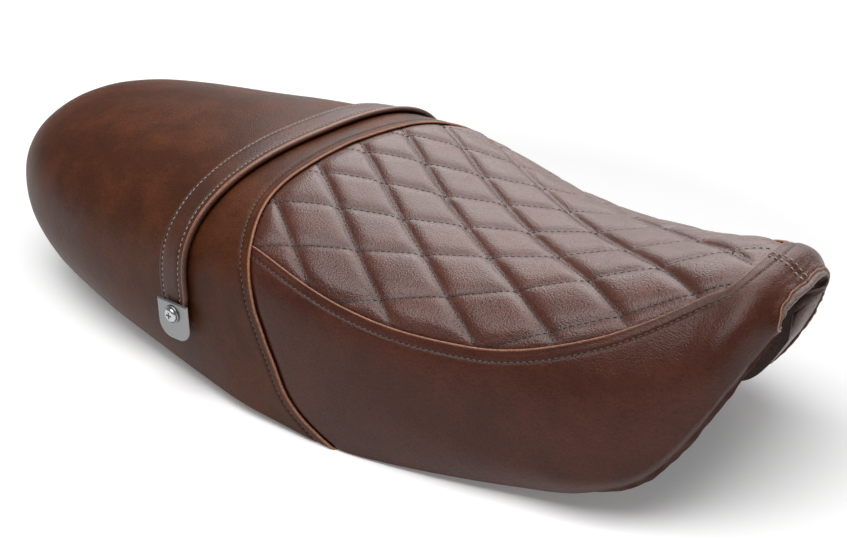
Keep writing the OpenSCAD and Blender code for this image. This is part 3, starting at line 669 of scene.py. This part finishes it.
def quilted_top():
    """The quilted panel: a grid along the two families of sewn lines, at whole p and at whole q."""
    n = 16
    p, q = np.meshgrid(np.arange(10 * n + 1) / n, np.arange(-2 * n, 9 * n + 1) / n, indexing="ij")
    x, v, side = quilt_points(p, q)
    dist = quilt_distance(x, v)
    base = form(x - ARC_X, np.clip(v, -1, 1), 1.0)
    base[..., 1] *= side
    nrm = normals(base, np.array([0, 0, 1]))
    inside = (dist > -2.6) & (v > -0.05)
    keep = inside[:-1, :-1] & inside[1:, :-1] & inside[1:, 1:] & inside[:-1, 1:]
    pad_p = 1 - (1 - np.abs(np.sin(math.pi * p))) ** 3.2
    pad_q = 1 - (1 - np.abs(np.sin(math.pi * q))) ** 2.6
    height = mix(-0.9, -2.6 + 4.3 * pad_p * (0.5 + 0.5 * pad_q), smooth(-1, 11, dist))
    # puckers that run out from the stitches
    dp, dq = np.abs(p - np.round(p)), np.abs(q - np.round(q))
    near = np.minimum(dp, dq) * CELL_SIDE
    run = np.where(dp < dq, q, p) * CELL_SIDE
    pucker = np.sin(run * 2 * math.pi / 5.2 + 2.2 * noise(base, 13.0, 1))
    pucker = pucker * np.exp(-((near - 3.2) / 2.6) ** 2)
    height = height + 0.22 * pucker * (0.6 + 0.4 * noise(base, 21.0, 1)) + creases(base, 0.8)
    height = height - 1.3 * smooth(1.5, -2.0, dist)
    pts = base + nrm * height[..., None]
    used = np.zeros(p.shape, bool)
    for a in (slice(0, -1), slice(1, None)):
        for b in (slice(0, -1), slice(1, None)):
            used[a, b] |= keep
    index = np.full(p.shape, -1)
    index[used] = np.arange(used.sum())
    faces = np.stack([index[:-1, :-1][keep], index[1:, :-1][keep],
                      index[1:, 1:][keep], index[:-1, 1:][keep]], -1)
    # painted shade along the quilting's sewn lines
    valley_shade = np.exp(-(near / 0.9) ** 2)
    obj = make("quilted_top", pts[used], faces, TOP,
               attributes={"fold": np.zeros(used.sum()), "groove_shade": valley_shade[used]})
    return obj, (p, q, used, dist, n)


# ---------------------------------------------------------------- stitches
def capsules(name, lines, material, pitch, length, radius, lift, body="seat"):
    """Rows of stitches along (points, normals) lines: each is a short bowed rod with rounded ends."""
    ring, cuts = 6, 7
    verts, faces = [], []
    ang = np.linspace(0, 2 * math.pi, ring, endpoint=False)
    t = np.linspace(-1, 1, cuts)
    swell = np.sqrt(np.clip(1 - np.abs(t) ** 3.2, 0, 1)) * radius
    count = 0
    for points, norm in lines:
        s = lengths(points[None])[0]
        if s[-1] < pitch:
            continue
        n = max(1, int(s[-1] // pitch))
        centres = (np.arange(n) + 0.5) * s[-1] / n
        for c in centres:
            at = np.array([np.interp(c + t * length / 2, s, points[:, k]) for k in range(3)]).T
            up = unit(np.array([np.interp(c, s, norm[:, k]) for k in range(3)]))
            along = unit(at[-1] - at[0])
            across = unit(np.cross(up, along))
            bow = lift * (1 - t ** 2) - 0.35 * radius * np.abs(t) ** 3
            mid = at + up * bow[:, None]
            spokes = across * np.cos(ang)[:, None] + up * np.sin(ang)[:, None]
            verts.append((mid[:, None] + spokes[None] * swell[:, None, None]).reshape(-1, 3))
            faces.append(quads(cuts, ring, count, wrap=True))
            count += cuts * ring
    obj = make(name, np.concatenate(verts), np.concatenate(faces), material, body)
    weld(obj, 0.001)
    return obj


def quilt_stitches(top, info):
    """Stitches along the quilting's lines, on the finished panel."""
    p, q, used, dist, n = info
    co = np.empty(len(top.data.vertices) * 3)
    top.data.vertices.foreach_get("co", co)
    co = co.reshape(-1, 3) / MM
    pts = np.full(p.shape + (3,), np.nan)
    pts[used] = co[:used.sum()]
    lines = []
    for axis in (0, 1):
        grid = pts if axis == 0 else pts.transpose(1, 0, 2)
        ok = used & (dist > 1.0)
        ok = ok if axis == 0 else ok.T
        for k in range(0, grid.shape[0], n):
            row = np.where(ok[k])[0]
            if len(row) < 3:
                continue
            for part in np.split(row, np.where(np.diff(row) > 1)[0] + 1):
                if len(part) > 3:
                    line = grid[k, part]
                    up = np.tile(np.array([0, 0, 1.0]), (len(line), 1))
                    far = np.clip(np.abs(line[:, 1]) / 140, 0, 1) ** 2
                    up[:, 1] = np.sign(line[:, 1]) * far * 1.1
                    lines.append((line, unit(up)))
    return capsules("quilt_thread", lines, THREAD_DARK, 4.3, 3.0, 0.38, 0.22)


# ---------------------------------------------------------------- the strap
STRAP_X = 500 * (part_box("grab_strap")[0].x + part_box("grab_strap")[1].x)
STRAP_LOW = -0.4


def band(name, profile, material, fold, groove_shade, v_low):
    """A closed band over the seat. profile is a loop of (across, height above the cover)."""
    v = np.concatenate([np.linspace(v_low, 0.9, 110), np.linspace(0.9, 1, 40)[1:]])
    side = np.concatenate([-np.ones(len(v)), np.ones(len(v) - 1)])
    v = np.concatenate([v, v[-2::-1]])
    rows = []
    for k in range(len(v)):
        narrow = mix(0.86, 1, float(smooth(-0.2, -0.1, v[k])))
        out = -profile[:, 1]
        rows.append(form(STRAP_X + profile[:, 0] * narrow - ARC_X, v[k], side[k], out, out))
    grid = np.array(rows)
    r, c = grid.shape[:2]
    faces = list(quads(r, c, wrap=True)) + [list(range(c)), list(range(r * c - 1, (r - 1) * c - 1, -1))]
    # painted highlight: the bead's paler fold colour is stronger higher up the strap
    bright = mix(0.5, 1, smooth(0, 0.5, v))
    obj = make(name, grid.reshape(-1, 3), faces, material, "strap",
               attributes={"fold": np.outer(bright, fold).reshape(-1), "groove_shade": np.tile(groove_shade, r)})
    weld(obj, 0.001)
    return obj, grid


def strap():
    """The strap's hide with its folded front bead, its two stitched rows, and the webbing behind it."""
    loop = np.array([
        (-14.6, 1.5), (-15.1, 2.0), (-15.0, 2.7), (-14.5, 3.15), (-13.6, 3.3), (-12.7, 3.15), (-12.2, 2.85),
        (-11.8, 2.7), (-11.4, 2.85), (-10.9, 3.15), (-9.5, 3.4), (-6, 3.5), (-2, 3.5), (0, 3.5), (3, 3.45),
        (4.7, 3.2), (5.3, 2.9), (5.7, 2.75), (6.1, 2.9), (6.8, 3.15), (8.2, 3.2), (9.4, 3.05), (10.0, 3.1),
        (10.6, 3.8), (11.3, 4.6), (12.2, 5.1), (13.2, 5.25), (14.2, 4.9), (14.9, 4.2), (15.2, 3.3),
        (15.0, 2.4), (14.3, 1.7), (13.4, 1.5), (12.4, 2.2), (6, 2.3), (0, 2.3), (-6, 2.3), (-12, 2.2),
        (-13, 1.5)])
    upper = np.arange(len(loop)) < 30
    rear_row, front_row = -11.8, 5.7
    # the top of the bead takes the paler fold colour with a painted highlight
    fold = 0.85 * np.exp(-((loop[:, 0] - 12.4) / 1.5) ** 2) * (loop[:, 1] > 3.6)
    # painted shade in the strap's stitch rows and in the line beside its bead
    groove_shade = (np.exp(-((loop[:, 0] - rear_row) / 0.5) ** 2) + np.exp(-((loop[:, 0] - front_row) / 0.5) ** 2)
              + 0.8 * np.exp(-((loop[:, 0] - 9.9) / 0.5) ** 2)) * upper
    obj, grid = band("grab_strap_hide", loop, STRAP, fold, groove_shade, STRAP_LOW)
    middle = int(np.argmin(np.abs(loop[:, 0]) + 99 * ~upper))
    up = unit(grid[:, middle] - grid[:, 35])
    lines = []
    for x in (rear_row, front_row):
        k = int(np.argmin(np.abs(loop[:, 0] - x) + 99 * ~upper))
        lines.append((grid[:, k], up))
    thread = capsules("strap_thread", lines, THREAD_LIGHT, 4.2, 2.9, 0.36, 0.28, "strap")
    web = np.array([(-11.5, 1.35), (-11.5, 2.1), (-6, 2.15), (0, 2.15), (6, 2.15), (11.5, 2.1), (11.5, 1.35),
                    (0, 1.35)])
    plain = np.zeros(len(web))
    webbing, _ = band("strap_backing", web, WEB, plain, plain, STRAP_LOW + 0.01)
    return obj, thread, webbing


# ---------------------------------------------------------------- build
top, quilt_info = quilted_top()
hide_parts("quilted_panel", "quilt_wadding")

tail, tail_stitch = tail_cover()
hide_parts("tail_cover", "hem_tail")

right, stitch_right, grid_right, n_right = rider_side(-1)
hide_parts("side_panel_right", "hem_right")
left, stitch_left, grid_left, n_left = rider_side(1)
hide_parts("side_panel_left", "hem_left")

quilt_thread = quilt_stitches(top, quilt_info)
seams = [stitch_right, stitch_left] + tail_stitch
seam_thread = capsules("seam_thread", seams, THREAD_SEAM, 4.0, 2.7, 0.34, 0.2)


def nose_stitches():
    """A light row of stitches on each side of the short seam at the nose."""
    lines = []
    for grid, n in ((grid_right, n_right), (grid_left, n_left)):
        path, up = [], []
        for j in range(5, len(LAP) + 40):
            y = np.abs(grid[:, j, 1])
            order = np.argsort(y)
            i = order[np.searchsorted(y[order], 2.0)]
            if QUILT_TIP + 1 < grid[i, j, 0] < 341:
                path.append(grid[i, j])
                up.append(n[i, j])
        lines.append((np.array(path), np.array(up)))
    return capsules("nose_thread", lines, THREAD_LIGHT, 3.6, 2.6, 0.42, 0.5)


nose_thread = nose_stitches()
hide, strap_thread, backing = strap()
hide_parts("grab_strap")
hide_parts("strap_webbing")


def bevelled(nodes, material, width, body):
    """A copy of CAD parts with rounded edges."""
    for name in nodes:
        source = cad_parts[name]
        mesh = source.data.copy()
        mesh.materials.clear()
        mesh.materials.append(material)
        obj = bpy.data.objects.new(name + "_finished", mesh)
        bpy.context.scene.collection.objects.link(obj)
        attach(obj, body)
        weld(obj, 0.01)
        modify(obj, "BEVEL", width=width * MM, segments=3, limit_method="ANGLE",
               angle_limit=math.radians(32), harden_normals=False)
        obj.data.shade_smooth()
        modify(obj, "WEIGHTED_NORMAL")
        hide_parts(name)


bevelled(["strap_plate_right", "strap_plate_left"], PLATE, 0.5, "strap")
bevelled(["strap_washer_right", "strap_washer_left"], PLATE, 0.3, "seat")
bevelled(["strap_screw_right", "strap_screw_left"], CHROME, 0.35, "seat")


def filling():
    """The foam: the CAD cushion drawn in a little, so that the rounded cover closes over it."""
    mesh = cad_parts["foam_core"].data.copy()
    obj = bpy.data.objects.new("foam_filling", mesh)
    bpy.context.scene.collection.objects.link(obj)
    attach(obj, "seat")
    weld(obj, 0.01)
    co = np.empty(len(mesh.vertices) * 3)
    nrm = np.empty(len(mesh.vertices) * 3)
    mesh.vertices.foreach_get("co", co)
    mesh.vertices.foreach_get("normal", nrm)
    co = co.reshape(-1, 3) - nrm.reshape(-1, 3) * 6 * MM
    front = smooth(0.285, 0.325, co[:, 0])
    co[:, 0] -= 0.022 * front
    co[:, 2] += 0.006 * front * (co[:, 2] < 0.12)
    mesh.vertices.foreach_set("co", co.reshape(-1))
    mesh.materials.clear()
    mesh.materials.append(FOAM)
    mesh.update()
    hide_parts("foam_core")
    return obj


foam = filling()
finish = {"base_pan": PAN, "cover_staples": ZINC, "strap_nut_right": ZINC, "strap_nut_left": ZINC,
          "front_tongue": BRACKET, "tongue_screws": ZINC, "rear_bracket": BRACKET, "bracket_screws": ZINC,
          "latch_striker": ZINC, "rear_buffer_right": RUBBER, "rear_buffer_left": RUBBER,
          "rail_buffer_right": RUBBER, "rail_buffer_left": RUBBER}
for name, material in finish.items():
    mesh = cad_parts[name].data
    mesh.materials.clear()
    mesh.materials.append(material)

# ---------------------------------------------------------------- floor, light and camera
floor_mat, tree, bsdf, floor_at = new_material("glowing_floor_paper")
bsdf.inputs["Base Color"].default_value = (0.93, 0.93, 0.93, 1)
bsdf.inputs["Roughness"].default_value = 0.8
bsdf.inputs["Specular IOR Level"].default_value = 0.1
# painted light: the floor glows, faintly round the seat and strongly further out, which whitens the far floor
# and lights the seat from below
bsdf.inputs["Emission Color"].default_value = (1, 1, 1, 1)
away = node(tree, "ShaderNodeVectorMath", operation="LENGTH")
tree.links.new(floor_at, away.inputs[0])
floor_glow = ramp(tree, maths(tree, "MULTIPLY", away.outputs["Value"], 0.5),
           [(0.22, grey(0.15)), (0.55, grey(0.9))])
tree.links.new(floor_glow, bsdf.inputs["Emission Strength"])
mesh = bpy.data.meshes.new("floor")
mesh.from_pydata([(-6, -6, 0), (6, -6, 0), (6, 6, 0), (-6, 6, 0)], [], [(0, 1, 2, 3)])
mesh.materials.append(floor_mat)
floor = bpy.data.objects.new("floor", mesh)
bpy.context.scene.collection.objects.link(floor)

world = bpy.data.worlds.new("studio")
world.use_nodes = True
world.node_tree.nodes["Background"].inputs[0].default_value = (1.0, 1.0, 1.0, 1)
world.node_tree.nodes["Background"].inputs[1].default_value = 0.26
bpy.context.scene.world = world


def area(name, place, target, size, power):
    """A soft white light, aimed at target."""
    data = bpy.data.lights.new(name, "AREA")
    data.shape, data.size, data.size_y, data.energy = "RECTANGLE", size[0], size[1], power
    obj = bpy.data.objects.new(name, data)
    obj.location = place
    obj.rotation_euler = (Vector(target) - Vector(place)).to_track_quat("-Z", "Y").to_euler()
    bpy.context.scene.collection.objects.link(obj)
    return obj


area("top_light", (0.22, -0.75, 1.9), (0.05, 0, 0.1), (1.6, 1.3), 42)
card = area("sheen_card", (-0.3, 1.5, 1.3), (0.05, 0, 0.12), (2.2, 1.7), 47)
overhead = area("overhead_card", (0.1, 0.5, 1.9), (0.25, 0, 0.15), (0.9, 0.8), 13)
# the cards brighten the leather's sheen and leave the floor to the top light
kept_off = bpy.data.collections.new("kept_off")
kept_off.objects.link(floor)
card.light_linking.receiver_collection = kept_off
overhead.light_linking.receiver_collection = kept_off
kept_off.collection_objects[0].light_linking.link_state = "EXCLUDE"

azimuth, elevation, distance = math.radians(37.409), math.radians(26.503), 0.968184
look_at, shift_right, shift_down = Vector((0.0015, 0, 0.0641)), 0.04236, 0.01073
back = Vector((math.sin(azimuth) * math.cos(elevation), -math.cos(azimuth) * math.cos(elevation),
               math.sin(elevation)))
right_way = Vector((math.cos(azimuth), math.sin(azimuth), 0))
up_way = back.cross(right_way)
cam_data = bpy.data.cameras.new("camera")
cam_data.sensor_width, cam_data.lens = 36, 1250 * 36 / 847
cam_data.clip_start, cam_data.clip_end = 0.01, 50
cam = bpy.data.objects.new("camera", cam_data)
place = look_at + back * distance + right_way * shift_right - up_way * shift_down
cam.matrix_world = Matrix.Translation(place) @ Matrix((right_way, up_way, back)).transposed().to_4x4()
bpy.context.scene.collection.objects.link(cam)
bpy.context.scene.camera = cam
bpy.context.scene.view_settings.view_transform = "Standard"
